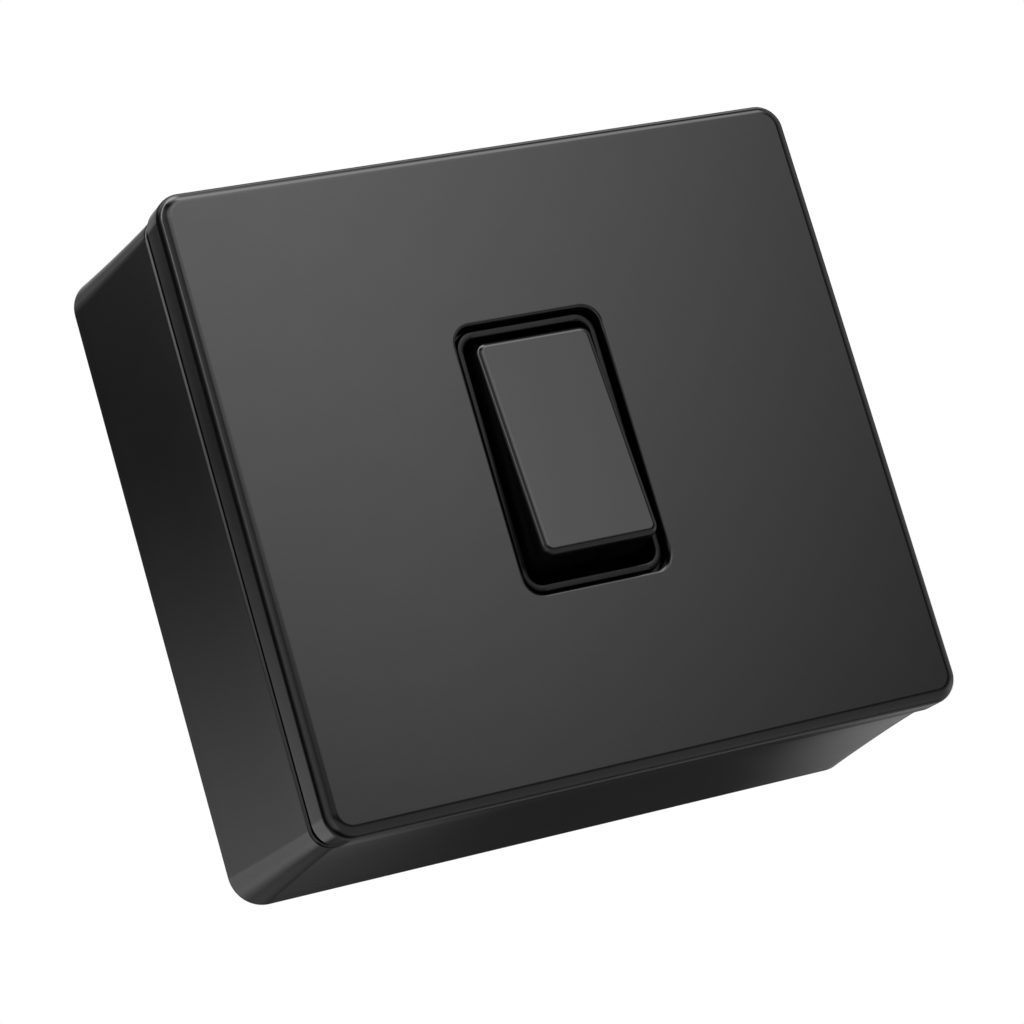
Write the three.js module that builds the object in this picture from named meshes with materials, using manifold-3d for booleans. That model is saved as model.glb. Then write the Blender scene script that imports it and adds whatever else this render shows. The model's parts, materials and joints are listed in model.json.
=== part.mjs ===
import * as THREE from 'three';
import { mergeVertices } from 'three/addons/utils/BufferGeometryUtils.js';
import Module from 'manifold-3d';

// Rocker wall switch: a one-gang switch with a clip-on front plate, on a surface-mounting box.
// Sizes are in millimetres. Every piece is drawn with X to the right, Y up the wall and Z out of
// the wall, with Z = 0 on the wall. The last group turns that so that +Z is up and -Y is the front.

const wasm = await Module();
wasm.setup();

// Whole switch
const plateWidth = 92.5;
const plateHeight = 86;
const totalHeight = 37;

// Front plate
const plateCorner = 3.6;
const plateEdge = 1.7;
const plateDepth = 5.7;
const plateWall = 1.6;
const skirtWall = 1.8;
const apertureWidth = 21.2;
const apertureHeight = 36.7;
const apertureCorner = 2.5;
const apertureRoll = 0.45;
const clipSpan = 70;
const clipWidth = 7;
const clipThickness = 1.2;
const clipLength = 4;
const clipInset = 3.4;

// Surface box: its rim stands back from the plate's edge, and its sides flare towards the wall
const boxHeight = 29;
const boxInset = 0.45;
const boxFlare = 1.7;
const boxFlarePower = 1.28;
const boxCorner = 2.9;
const boxRimRound = 0.5;
const boxWall = 2.8;
const boxBack = 2.5;
const boxInnerCorner = 1.6;
const lugSpacing = 60.3;
const lugWidth = 9;
const lugWebDrop = 3;
const lugScrewWay = 22;
const bushPit = 0.4;
const entryRadius = 9;
const entryRise = 15;
const slotRadius = 2.2;
const slotLength = 8;
const slotSpread = 24;
const slotDrop = 23;
const lowerSlotX = 6;
const lowerSlotDrop = 30;
const knockoutRadius = 8;
const grooveWidth = 0.7;
const grooveDepth = 0.6;

// Earth terminals: one on a pad in the box, one hung behind the mounting frame
const earthPadTop = 9;
const earthPadMargin = 0.8;
const earthX = 21.5;
const earthY = -36.5;
const earthWidth = 6;
const earthHeight = 7;
const earthHoleRadius = 1.5;
const earthHoleHeight = 2.6;
const earthSeatGap = 0.2;
const frameEarthX = -25.5;
const frameEarthY = 25.5;

// Mounting frame
const frameTop = 32.8;
const frameThickness = 1.5;
const frameRim = 2;
const frameRimTop = 33.8;
const frameGap = 0.35;
const frameRecessCorner = 0.8;
const frameOpeningMargin = 0.4;
const frameOpeningCorner = 3;
const frameSlotRadius = 2.1;
const frameSlotLength = 7;
const clipSlotMargin = 0.5;

// Fixings: pieces that touch keep the gap fit, and round pieces stand in their seats with the play seat
const fit = 0.3;
const seat = 0.2;
const screwRadius = 1.75;
const screwClearance = 0.4;
const insertRadius = 2.7;
const insertLength = 6;
const insertBoreMargin = 0.25;

// Switch module: its centre stands a little to the left of the plate's centre and above it
const moduleShift = -0.65;
const moduleRise = 0.45;
const lipWidth = 20.2;
const lipHeight = 35.8;
const lipCorner = 2.6;
const lipTop = 35.8;
const lipRound = 0.15;
const lipStep = 1.1;
const pocketWidth = 18.6;
const pocketHeight = 33.8;
const pocketCorner = 1.9;
const pocketFloor = 26;
const pocketMouth = 0.2;
const bodyWidth = 22;
const bodyHeight = 38;
const bodyCorner = 2.5;
const bezelBottom = 25;
const flangeWidth = 28;
const flangeHeight = 49;
const flangeCorner = 2;
const flangeTop = 31;
const flangeThickness = 1.5;
const plungerWindow = { width: 9, height: 13 };
const baseTop = 24.7;
const baseBottom = 9;
const baseCorner = 2;
const cavityWidth = 18.8;
const cavityHeight = 34;
const cavityFloor = 17.5;

// The base's ears hold the rivets that clamp it to the bezel and the mounting frame
const earWidth = 8;
const earReach = 24;
const earBottom = 21.5;
const earStep = 23;
const rivetSpan = 43.4;
const rivetRadius = 1.4;
const rivetHoleRadius = 1.7;
const rivetTailRadius = 2.4;
const rivetTailBottom = 20.7;
const rivetTailTop = 21.3;
const rivetHeadRadius = 2.7;
const rivetHeadHeight = 0.8;

// Terminals: brass blocks in pockets in the base's rear
const terminalRoof = 15.9;
const terminalPitch = 12;
const terminalWidth = 7.6;
const terminalHeight = 7;
const terminalBottom = 11.4;
const terminalPocketMargin = 0.4;
const wireHoleRadius = 1.3;
const wireHoleHeight = 13.6;
const wireEntryRadius = 2;
const wireEntryHeight = 13.4;
const terminalScrewHoleRadius = 1.45;
const stripWidth = 4;
const stripThickness = 0.8;
const stripOffset = 1;
const postWidth = 4.4;
const postThickness = 1.2;
const knifeThickness = 0.6;
const knifeHeight = 0.6;
const slotMargin = 0.4;

// Rocker
const pivotHeight = 31.3;
const rockerTilt = THREE.MathUtils.degToRad(5.5);
const rockerFace = 8;
const rockerWidth = 16.9;
const rockerLength = 30.05;
const rockerCorner = 1.5;
const rockerHollowCorner = 0.8;
const rockerEdge = 0.9;
const rockerSkirt = 2;
const rockerFlare = 0.4;
const rockerWall = 1.4;
const cheekThickness = 1.5;
const cheekWidth = 9;
const cheekBottom = -2.2;
const trunnionRadius = 1.4;
const trunnionEnd = 10.4;
const trunnionMargin = 0.2;
const tubeRadius = 2.7;
const tubeBore = 1.9;
const tubeBottom = -1.5;
const plungerRadius = 1.6;
const plungerTop = 0.6;
const plungerTip = -8.95;
const springRadius = 1.25;
const springWire = 0.2;
const springTurns = 6;
const springGap = 0.5;

// See-saw contact
const bridgeTop = 22;
const bridgeThickness = 0.8;
const bridgeLength = 20;
const bridgeWidth = 6;
const bridgeTilt = THREE.MathUtils.degToRad(7);
const contactReach = 8;
const contactRadius = 1.4;
const contactThickness = 0.5;
const contactGap = 0.1;
const fixedContactTop = 19;
const bridgeEarThickness = 0.6;
const bridgeEarWidth = 2.8;
const bridgeEarDrop = 1.6;

// Cutters run past the faces that they open, and grown pieces start inside the wall they grow from
const past = 1;
const root = 0.5;

// Facets
const fineSides = 16;
const wideSides = 32;
const wideRadius = 5;
const cornerSides = 5;
const edgeSteps = 4;

// ---------------------------------------------------------------- shaping helpers

function solid(geometry) {
  const bare = geometry.clone();
  bare.deleteAttribute('normal');
  bare.deleteAttribute('uv');
  const merged = mergeVertices(bare, 1e-4);
  const corners = merged.index.array;
  const kept = [];
  for (let i = 0; i < corners.length; i += 3) {
    const [a, b, c] = [corners[i], corners[i + 1], corners[i + 2]];
    if (a !== b && b !== c && c !== a) kept.push(a, b, c);
  }
  const vertProperties = new Float32Array(merged.attributes.position.array);
  return new wasm.Manifold(new wasm.Mesh({ numProp: 3, vertProperties, triVerts: new Uint32Array(kept) }));
}

function joined(...pieces) {
  return pieces.reduce((whole, piece) => whole.add(piece));
}

function cut(whole, ...tools) {
  return tools.reduce((rest, tool) => rest.subtract(tool), whole);
}

// A box given by its two ends on each axis.
function block([x0, x1], [y0, y1], [z0, z1]) {
  const box = new THREE.BoxGeometry(x1 - x0, y1 - y0, z1 - z0);
  return solid(box.translate((x0 + x1) / 2, (y0 + y1) / 2, (z0 + z1) / 2));
}

// A round bar standing along Z.
function bar(radius, [z0, z1], x = 0, y = 0) {
  const sides = radius < wideRadius ? fineSides : wideSides;
  const rod = new THREE.CylinderGeometry(radius, radius, z1 - z0, sides);
  return solid(rod.rotateX(Math.PI / 2).translate(x, y, (z0 + z1) / 2));
}

// A round bar lying along X.
function crossBar(radius, [x0, x1], y = 0, z = 0) {
  const rod = new THREE.CylinderGeometry(radius, radius, x1 - x0, fineSides);
  return solid(rod.rotateZ(Math.PI / 2).translate((x0 + x1) / 2, y, z));
}

// A turned piece: its profile is a list of [radius, z] that starts and ends on the axis.
function turned(profile) {
  const points = profile.map(([radius, z]) => new THREE.Vector2(radius, z));
  return solid(new THREE.LatheGeometry(points, fineSides).rotateX(Math.PI / 2));
}

// A rounded rectangle lofted through levels of [z, outward offset of its outline].
function softBlock({ width, height, radius, levels, x = 0, y = 0 }) {
  const cornerX = width / 2 - radius;
  const cornerY = height / 2 - radius;
  const outline = new THREE.Shape();
  outline.absarc(cornerX, cornerY, radius, 0, Math.PI / 2);
  outline.absarc(-cornerX, cornerY, radius, Math.PI / 2, Math.PI);
  outline.absarc(-cornerX, -cornerY, radius, Math.PI, 1.5 * Math.PI);
  outline.absarc(cornerX, -cornerY, radius, 1.5 * Math.PI, 2 * Math.PI);
  const steps = levels.length - 1;
  const loft = new THREE.ExtrudeGeometry(outline, {
    steps, depth: steps, bevelEnabled: false, curveSegments: cornerSides,
  });
  const points = loft.attributes.position;
  for (let i = 0; i < points.count; i += 1) {
    const [z, offset] = levels[Math.round(points.getZ(i))];
    const centreX = Math.sign(points.getX(i)) * cornerX;
    const centreY = Math.sign(points.getY(i)) * cornerY;
    const grow = (radius + offset) / radius;
    points.setXYZ(
      i,
      x + centreX + (points.getX(i) - centreX) * grow,
      y + centreY + (points.getY(i) - centreY) * grow,
      z,
    );
  }
  return solid(loft);
}

// Levels of a convex edge rounding that ends at the top.
function roundedTop(top, radius, offset = 0) {
  return Array.from({ length: edgeSteps + 1 }, (_, i) => {
    const angle = (i / edgeSteps) * Math.PI / 2;
    return [top - radius + radius * Math.sin(angle), offset - radius + radius * Math.cos(angle)];
  });
}

// Levels of a cutter that leaves a rolled edge around a hole and runs out past the top.
function rolledMouth(top, radius) {
  const roll = Array.from({ length: edgeSteps + 1 }, (_, i) => {
    const angle = (i / edgeSteps) * Math.PI / 2;
    return [top - radius + radius * Math.sin(angle), radius - radius * Math.cos(angle)];
  });
  return [...roll, [top + past, radius]];
}

function straight(bottom, top) {
  return [[bottom, 0], [top, 0]];
}

function centred(length, middle = 0) {
  return [middle - length / 2, middle + length / 2];
}

function opened(bottom, top) {
  return [bottom - past, top + past];
}

// A span that lies at the same distance on either side of the middle.
function sided(side, near, far) {
  return side > 0 ? [near, far] : [-far, -near];
}

// A slot cutter, with round ends, standing along Z.
function slot(radius, length, [z0, z1], x, y, upright) {
  const reach = length / 2 - radius;
  const [dx, dy] = upright ? [0, reach] : [reach, 0];
  const middle = upright ? block([x - radius, x + radius], [y - reach, y + reach], [z0, z1])
    : block([x - reach, x + reach], [y - radius, y + radius], [z0, z1]);
  return joined(middle, bar(radius, [z0, z1], x - dx, y - dy), bar(radius, [z0, z1], x + dx, y + dy));
}

// A pan-head screw: the underside of its head is at Z = 0 and its shank points to -Z.
function screw({ headRadius, headHeight, shankRadius, shankLength }) {
  const tip = shankRadius * 0.6;
  const rim = headHeight * 0.45;
  const body = turned([
    [0, -shankLength], [tip, -shankLength], [shankRadius, -shankLength + tip],
    [shankRadius, 0], [headRadius, 0], [headRadius, rim],
    [headRadius * 0.85, headHeight * 0.82], [headRadius * 0.5, headHeight], [0, headHeight],
  ]);
  const driveSlot = centred(headRadius * 0.28);
  return cut(body, block([-headRadius, headRadius], driveSlot, [rim, headHeight + past]));
}

class Helix extends THREE.Curve {
  constructor(radius, bottom, top, turns) {
    super();
    Object.assign(this, { radius, bottom, top, turns });
  }

  getPoint(t, target = new THREE.Vector3()) {
    const angle = t * this.turns * 2 * Math.PI;
    return target.set(
      this.radius * Math.cos(angle),
      this.radius * Math.sin(angle),
      THREE.MathUtils.lerp(this.bottom, this.top, t),
    );
  }
}

// ---------------------------------------------------------------- materials

function finish(color, roughness, metalness) {
  return new THREE.MeshStandardMaterial({ color, roughness, metalness });
}

const finishes = {
  plate: finish('#2b2b2c', 0.42, 0.15),
  shell: finish('#242425', 0.5, 0),
  rocker: finish('#2d2d2e', 0.4, 0),
  bezel: finish('#222223', 0.5, 0),
  frame: finish('#1c1c1d', 0.6, 0),
  base: finish('#d9d6cd', 0.55, 0),
  nylon: finish('#e8e6df', 0.45, 0),
  brass: finish('#b08d3e', 0.35, 1),
  steel: finish('#b9bcc0', 0.35, 1),
  silver: finish('#d8dadc', 0.25, 1),
};

function piece(name, form, material) {
  const geometry = form.isBufferGeometry ? form : new THREE.BufferGeometry();
  if (!form.isBufferGeometry) {
    const { vertProperties, triVerts } = form.getMesh();
    geometry.setAttribute('position', new THREE.BufferAttribute(vertProperties, 3));
    geometry.setIndex(new THREE.BufferAttribute(triVerts, 1));
    geometry.computeVertexNormals();
  }
  const mesh = new THREE.Mesh(geometry, material);
  mesh.name = name;
  return mesh;
}

// ---------------------------------------------------------------- surface box

const lugTop = frameTop - frameThickness - fit;

// The box's outline grows towards the wall, most quickly near it.
function flareLevels(bottom, top) {
  return Array.from({ length: edgeSteps + 1 }, (_, i) => {
    const z = THREE.MathUtils.lerp(bottom, top, i / edgeSteps);
    return [z, boxFlare * (1 - z / boxHeight) ** boxFlarePower];
  });
}

function lug(side) {
  const x = (side * lugSpacing) / 2;
  const column = block(centred(lugWidth, x), centred(lugWidth), [boxBack / 2, lugTop]);
  const wallX = plateWidth / 2 - boxWall / 2;
  const webTop = boxHeight - lugWebDrop;
  const web = block(sided(side, lugSpacing / 2, wallX), centred(lugWidth), [boxBack / 2, webTop]);
  const bushSeat = bar(insertRadius + seat, [lugTop - insertLength - bushPit, lugTop + past], x, 0);
  const screwWay = bar(screwRadius + screwClearance, [lugTop - lugScrewWay, lugTop], x, 0);
  return { column: column.add(web), hollows: [bushSeat, screwWay] };
}

function knockoutGroove(x, y) {
  const outer = bar(knockoutRadius, [-past, grooveDepth], x, y);
  return outer.subtract(bar(knockoutRadius - grooveWidth, opened(-past, grooveDepth), x, y));
}

function backBox() {
  const width = plateWidth - 2 * boxInset;
  const height = plateHeight - 2 * boxInset;
  const outer = softBlock({
    width,
    height,
    radius: boxCorner,
    levels: [...flareLevels(0, boxHeight - boxRimRound), ...roundedTop(boxHeight, boxRimRound).slice(1)],
  });
  const hollow = softBlock({
    width: width - 2 * boxWall,
    height: height - 2 * boxWall,
    radius: boxInnerCorner,
    levels: [...flareLevels(boxBack, boxHeight), [boxHeight + past, 0]],
  });
  const lugs = [lug(-1), lug(1)];
  const padWidth = earthWidth + 2 * earthPadMargin;
  const earthPad = block(
    centred(padWidth, earthX),
    [-plateHeight / 2 + boxWall / 2, earthY + padWidth / 2],
    [boxBack / 2, earthPadTop],
  );
  const through = opened(0, boxBack);
  const shell = joined(outer.subtract(hollow), earthPad, ...lugs.map(({ column }) => column));
  return cut(
    shell,
    ...lugs.flatMap(({ hollows }) => hollows),
    bar(entryRadius, through, 0, entryRise),
    slot(slotRadius, slotLength, through, -slotSpread, -slotDrop, false),
    slot(slotRadius, slotLength, through, lowerSlotX, -lowerSlotDrop, true),
    knockoutGroove(-slotSpread, slotDrop),
    knockoutGroove(slotSpread, slotDrop),
  );
}

function lugInsert(side) {
  const x = (side * lugSpacing) / 2;
  const bush = bar(insertRadius, [lugTop - insertLength, lugTop], x, 0);
  return bush.subtract(bar(screwRadius + insertBoreMargin, opened(lugTop - insertLength, lugTop), x, 0));
}

function fixingScrew(side) {
  const form = screw({ headRadius: 3.4, headHeight: 1.8, shankRadius: screwRadius, shankLength: 20 });
  return form.translate([(side * lugSpacing) / 2, 0, frameTop + fit]);
}

// An earth terminal stands on Z = 0: a brass block with a wire hole along X and a screw from the top.
function earthTerminal() {
  const body = block(centred(earthWidth), centred(earthWidth), [0, earthHeight]);
  const wireWay = crossBar(earthHoleRadius, centred(earthWidth + 2 * past), 0, earthHoleHeight);
  const screwWay = bar(earthHoleRadius, [earthHoleHeight, earthHeight + past]);
  return cut(body, wireWay, screwWay);
}

function earthScrew() {
  const form = screw({ headRadius: 2.2, headHeight: 1.4, shankRadius: 1.2, shankLength: 3.6 });
  return form.translate([0, 0, earthHeight + earthSeatGap]);
}

function earthGroup(place, [x, y, z], turn) {
  const group = new THREE.Group();
  group.position.set(x, y, z);
  group.rotation.x = turn;
  group.add(
    piece(`${place}_earth_terminal`, earthTerminal(), finishes.brass),
    piece(`${place}_earth_screw`, earthScrew(), finishes.steel),
  );
  return group;
}

// ---------------------------------------------------------------- mounting frame

function mountingFrame() {
  const width = plateWidth - 2 * (skirtWall + frameGap);
  const height = plateHeight - 2 * (skirtWall + frameGap);
  const radius = plateCorner - skirtWall;
  const body = softBlock({ width, height, radius, levels: straight(boxHeight + fit, frameRimTop) });
  const recess = {
    width: width - 2 * frameRim,
    height: height - 2 * frameRim,
    radius: frameRecessCorner,
  };
  const through = opened(boxHeight, frameTop);
  const frontRecess = softBlock({ ...recess, levels: straight(frameTop, frameRimTop + past) });
  const backRecess = softBlock({ ...recess, levels: straight(boxHeight - past, frameTop - frameThickness) });
  const opening = softBlock({
    width: bodyWidth + 2 * frameOpeningMargin,
    height: bodyHeight + 2 * frameOpeningMargin,
    radius: frameOpeningCorner,
    x: moduleShift,
    y: moduleRise,
    levels: straight(...through),
  });
  const holes = rivetHoles(through).map((hole) => hole.translate([moduleShift, moduleRise, 0]));
  const screwSlots = [-1, 1].map((side) => {
    const x = (side * lugSpacing) / 2;
    return slot(frameSlotRadius, frameSlotLength, through, x, 0, side > 0);
  });
  const clipSlots = clipPlaces().map(([x, y]) => block(
    centred(clipWidth + 2 * clipSlotMargin, x),
    centred(clipThickness + 2 * clipSlotMargin, y),
    through,
  ));
  return cut(body, frontRecess, backRecess, opening, ...holes, ...screwSlots, ...clipSlots);
}

// ---------------------------------------------------------------- front plate

function clipPlaces() {
  const y = plateHeight / 2 - skirtWall - frameGap - frameRim - clipInset;
  return [[-clipSpan / 2, y], [clipSpan / 2, y], [-clipSpan / 2, -y], [clipSpan / 2, -y]];
}

function frontPlate() {
  const outer = softBlock({
    width: plateWidth,
    height: plateHeight,
    radius: plateCorner,
    levels: [[totalHeight - plateDepth, 0], ...roundedTop(totalHeight, plateEdge)],
  });
  const inner = softBlock({
    width: plateWidth - 2 * skirtWall,
    height: plateHeight - 2 * skirtWall,
    radius: plateCorner - skirtWall,
    levels: straight(totalHeight - plateDepth - past, totalHeight - plateWall),
  });
  const aperture = softBlock({
    width: apertureWidth,
    height: apertureHeight,
    radius: apertureCorner,
    x: moduleShift,
    y: moduleRise,
    levels: [[totalHeight - plateWall - past, 0], ...rolledMouth(totalHeight, apertureRoll)],
  });
  const clips = clipPlaces().map(([x, y]) => block(
    centred(clipWidth, x),
    centred(clipThickness, y),
    [totalHeight - plateWall - clipLength, totalHeight - plateWall + root],
  ));
  return joined(cut(outer, inner, aperture), ...clips);
}

// ---------------------------------------------------------------- switch module

function moduleBezel() {
  const lip = softBlock({
    width: lipWidth,
    height: lipHeight,
    radius: lipCorner,
    levels: [[bezelBottom + root, 0], ...roundedTop(lipTop, lipRound)],
  });
  const body = softBlock({
    width: bodyWidth,
    height: bodyHeight,
    radius: bodyCorner,
    levels: straight(bezelBottom, lipTop - lipStep),
  });
  const flange = softBlock({
    width: flangeWidth,
    height: flangeHeight,
    radius: flangeCorner,
    levels: straight(flangeTop - flangeThickness, flangeTop),
  });
  const pocket = softBlock({
    width: pocketWidth,
    height: pocketHeight,
    radius: pocketCorner,
    levels: [
      [pocketFloor, 0], [lipTop - pocketMouth, 0], [lipTop, pocketMouth], [lipTop + past, pocketMouth],
    ],
  });
  const window = block(
    centred(plungerWindow.width),
    centred(plungerWindow.height),
    opened(bezelBottom, pocketFloor),
  );
  const trunnionSeat = crossBar(
    trunnionRadius + trunnionMargin,
    centred(2 * (trunnionEnd + fit)),
    0,
    pivotHeight,
  );
  return cut(
    joined(lip, body, flange),
    pocket,
    window,
    trunnionSeat,
    ...rivetHoles(opened(flangeTop - flangeThickness, flangeTop)),
  );
}

function rivetHoles(span) {
  return [-1, 1].map((side) => bar(rivetHoleRadius, span, 0, (side * rivetSpan) / 2));
}

const earTop = flangeTop - flangeThickness - fit;
const terminalTop = terminalRoof - fit;

function switchBase() {
  const body = softBlock({
    width: bodyWidth,
    height: bodyHeight,
    radius: baseCorner,
    levels: straight(baseBottom, baseTop),
  });
  const cavity = block(centred(cavityWidth), centred(cavityHeight), [cavityFloor, baseTop + past]);
  const ears = [-1, 1].flatMap((side) => [
    block(centred(earWidth), sided(side, bodyHeight / 2 + fit, earReach), [earStep, earTop]),
    block(centred(earWidth), sided(side, bodyHeight / 2 - root, earReach), [earBottom, baseTop]),
  ]);
  const pockets = [-1, 0, 1].flatMap((place) => {
    const y = place * terminalPitch;
    return [
      block(
        centred(terminalWidth + 2 * terminalPocketMargin),
        centred(terminalHeight + 2 * terminalPocketMargin, y),
        [baseBottom - past, terminalRoof],
      ),
      crossBar(wireEntryRadius, centred(bodyWidth + 2 * past), y, wireEntryHeight),
    ];
  });
  const slotDepth = opened(terminalRoof, cavityFloor);
  const commonSlot = block(
    centred(postWidth + 2 * slotMargin),
    centred(postThickness + 2 * slotMargin),
    slotDepth,
  );
  const stripSlots = [-1, 1].map((side) => block(
    centred(stripWidth + 2 * slotMargin),
    centred(stripThickness + 2 * slotMargin, side * (terminalPitch + stripOffset + stripThickness / 2)),
    slotDepth,
  ));
  return cut(
    joined(body, ...ears),
    cavity,
    ...rivetHoles(opened(earBottom, earTop)),
    ...pockets,
    commonSlot,
    ...stripSlots,
  );
}

function moduleRivet() {
  const headBottom = frameTop + seat;
  return turned([
    [0, rivetTailBottom], [rivetTailRadius, rivetTailBottom], [rivetTailRadius, rivetTailTop],
    [rivetRadius, rivetTailTop], [rivetRadius, headBottom], [rivetHeadRadius, headBottom],
    [rivetHeadRadius, headBottom + rivetHeadHeight / 2],
    [rivetHeadRadius * 0.75, headBottom + rivetHeadHeight], [0, headBottom + rivetHeadHeight],
  ]);
}

// A brass block with its wire hole along X and its screw hole opening to the rear.
function terminalBody(y) {
  const body = block(centred(terminalWidth), centred(terminalHeight, y), [terminalBottom, terminalTop]);
  return cut(
    body,
    crossBar(wireHoleRadius, centred(terminalWidth + 2 * past), y, wireHoleHeight),
    bar(terminalScrewHoleRadius, [terminalBottom - past, wireHoleHeight], 0, y),
  );
}

const bridgeBottom = bridgeTop - bridgeThickness;
const knifeTop = bridgeBottom - fit;

// The common terminal's post ends in the edge that the see-saw rocks on.
function commonTerminal() {
  const postTop = knifeTop - knifeHeight;
  const post = block(centred(postWidth), centred(postThickness), [terminalTop - root, postTop]);
  const knife = block(centred(postWidth), centred(knifeThickness), [postTop - root, knifeTop]);
  return joined(terminalBody(0), post, knife);
}

const shelfTop = fixedContactTop - contactThickness - contactGap;
const shelfBottom = cavityFloor + contactGap;
const stripEnd = terminalPitch + stripOffset + stripThickness;

// A line terminal's strip rises into the cavity and bends back under the see-saw's end.
function lineTerminal(side) {
  const riser = block(
    centred(stripWidth),
    sided(side, stripEnd - stripThickness, stripEnd),
    [terminalTop - root, shelfTop],
  );
  const shelf = block(
    centred(stripWidth),
    sided(side, contactReach - stripWidth / 2, stripEnd),
    [shelfBottom, shelfTop],
  );
  return joined(terminalBody(side * terminalPitch), riser, shelf);
}

function terminalScrew(y) {
  const form = screw({ headRadius: 2.2, headHeight: 1.4, shankRadius: 1.25, shankLength: 1.9 });
  return form.rotate([180, 0, 0]).translate([0, y, terminalBottom - seat]);
}

// ---------------------------------------------------------------- see-saw contact

// Drawn with its rocking line at the origin: the rear face's middle.
function contactBridge() {
  const strip = block(centred(bridgeWidth), centred(bridgeLength), [0, bridgeThickness]);
  const earSpan = [bridgeWidth / 2 - bridgeEarThickness / 2, bridgeWidth / 2 + bridgeEarThickness / 2];
  const ears = [-1, 1].map((side) => block(
    sided(side, ...earSpan),
    centred(bridgeEarWidth),
    [-bridgeEarDrop, bridgeThickness / 2],
  ));
  return joined(strip, ...ears);
}

function movingContact(side) {
  return bar(contactRadius, [-contactGap - contactThickness, -contactGap], 0, side * contactReach);
}

function fixedContact(side) {
  return bar(contactRadius, [fixedContactTop - contactThickness, fixedContactTop], 0, side * contactReach);
}

// ---------------------------------------------------------------- rocker and plunger

// Drawn about the pivot: Z points out through the middle of the face.
function rockerForm() {
  const outer = softBlock({
    width: rockerWidth,
    height: rockerLength,
    radius: rockerCorner,
    levels: [[rockerSkirt, rockerFlare], ...roundedTop(rockerFace, rockerEdge)],
  });
  const roof = rockerFace - rockerWall;
  const hollow = softBlock({
    width: rockerWidth - 2 * rockerWall,
    height: rockerLength - 2 * rockerWall,
    radius: rockerHollowCorner,
    levels: [[rockerSkirt - past, rockerFlare], [roof, 0]],
  });
  const cheekOuter = rockerWidth / 2 + rockerFlare;
  const cheeks = [-1, 1].map((side) => block(
    sided(side, cheekOuter - cheekThickness, cheekOuter),
    centred(cheekWidth),
    [cheekBottom, rockerSkirt + root],
  ));
  const trunnions = [-1, 1].map((side) => crossBar(
    trunnionRadius,
    sided(side, cheekOuter - root, trunnionEnd),
  ));
  const tube = bar(tubeRadius, [tubeBottom, roof + root]);
  const bore = bar(tubeBore, [tubeBottom - past, roof]);
  return cut(joined(cut(outer, hollow), tube, ...cheeks, ...trunnions), bore);
}

// A round-nosed pin: its tip is a quarter circle turned about the axis.
function plungerForm() {
  const nose = Array.from({ length: edgeSteps + 1 }, (_, i) => {
    const angle = (i / edgeSteps) * Math.PI / 2;
    return [plungerRadius * Math.sin(angle), plungerTip + plungerRadius * (1 - Math.cos(angle))];
  });
  return turned([...nose, [plungerRadius, plungerTop], [0, plungerTop]]);
}

function springForm() {
  const roof = rockerFace - rockerWall;
  const path = new Helix(springRadius, plungerTop + springGap, roof - springGap, springTurns);
  const section = new THREE.Shape();
  section.absarc(0, 0, springWire, 0, 2 * Math.PI);
  return new THREE.ExtrudeGeometry(section, {
    steps: springTurns * 10, curveSegments: 2, bevelEnabled: false, extrudePath: path,
  });
}

// ---------------------------------------------------------------- assembly

const rockerGroup = new THREE.Group();
rockerGroup.position.set(0, 0, pivotHeight);
rockerGroup.rotation.x = -rockerTilt;
rockerGroup.add(
  piece('rocker', rockerForm(), finishes.rocker),
  piece('plunger', plungerForm(), finishes.nylon),
  piece('plunger_spring', springForm(), finishes.steel),
);

// The lower arm of the see-saw is pressed in while the rocker's lower end stands proud.
const bridgeGroup = new THREE.Group();
bridgeGroup.position.set(0, 0, bridgeBottom);
bridgeGroup.rotation.x = bridgeTilt;
bridgeGroup.add(
  piece('contact_bridge', contactBridge(), finishes.brass),
  piece('bridge_contact_upper', movingContact(1), finishes.silver),
  piece('bridge_contact_lower', movingContact(-1), finishes.silver),
);

const moduleGroup = new THREE.Group();
moduleGroup.position.set(moduleShift, moduleRise, 0);
moduleGroup.add(
  piece('module_bezel', moduleBezel(), finishes.bezel),
  piece('switch_base', switchBase(), finishes.base),
  piece('terminal_common', commonTerminal(), finishes.brass),
  piece('terminal_l1', lineTerminal(1), finishes.brass),
  piece('terminal_l2', lineTerminal(-1), finishes.brass),
  piece('terminal_screw_common', terminalScrew(0), finishes.steel),
  piece('terminal_screw_l1', terminalScrew(terminalPitch), finishes.steel),
  piece('terminal_screw_l2', terminalScrew(-terminalPitch), finishes.steel),
  piece('fixed_contact_upper', fixedContact(1), finishes.silver),
  piece('fixed_contact_lower', fixedContact(-1), finishes.silver),
  rockerGroup,
  bridgeGroup,
);
[['upper', 1], ['lower', -1]].forEach(([place, side]) => {
  const rivet = piece(`module_rivet_${place}`, moduleRivet(), finishes.steel);
  rivet.position.y = (side * rivetSpan) / 2;
  moduleGroup.add(rivet);
});

const rockerSwitch = new THREE.Group();
rockerSwitch.rotation.x = Math.PI / 2;
rockerSwitch.add(
  piece('back_box', backBox(), finishes.shell),
  piece('mounting_frame', mountingFrame(), finishes.frame),
  piece('front_plate', frontPlate(), finishes.plate),
  moduleGroup,
);
[['left', -1], ['right', 1]].forEach(([place, side]) => {
  rockerSwitch.add(
    piece(`lug_insert_${place}`, lugInsert(side), finishes.brass),
    piece(`fixing_screw_${place}`, fixingScrew(side), finishes.steel),
  );
});

rockerSwitch.add(
  earthGroup('box', [earthX, earthY, earthPadTop + earthSeatGap], 0),
  earthGroup('frame', [frameEarthX, frameEarthY, lugTop], Math.PI),
);

export default rockerSwitch;
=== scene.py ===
import json
import math

import bmesh
import bpy
from mathutils import Matrix, Vector

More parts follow.
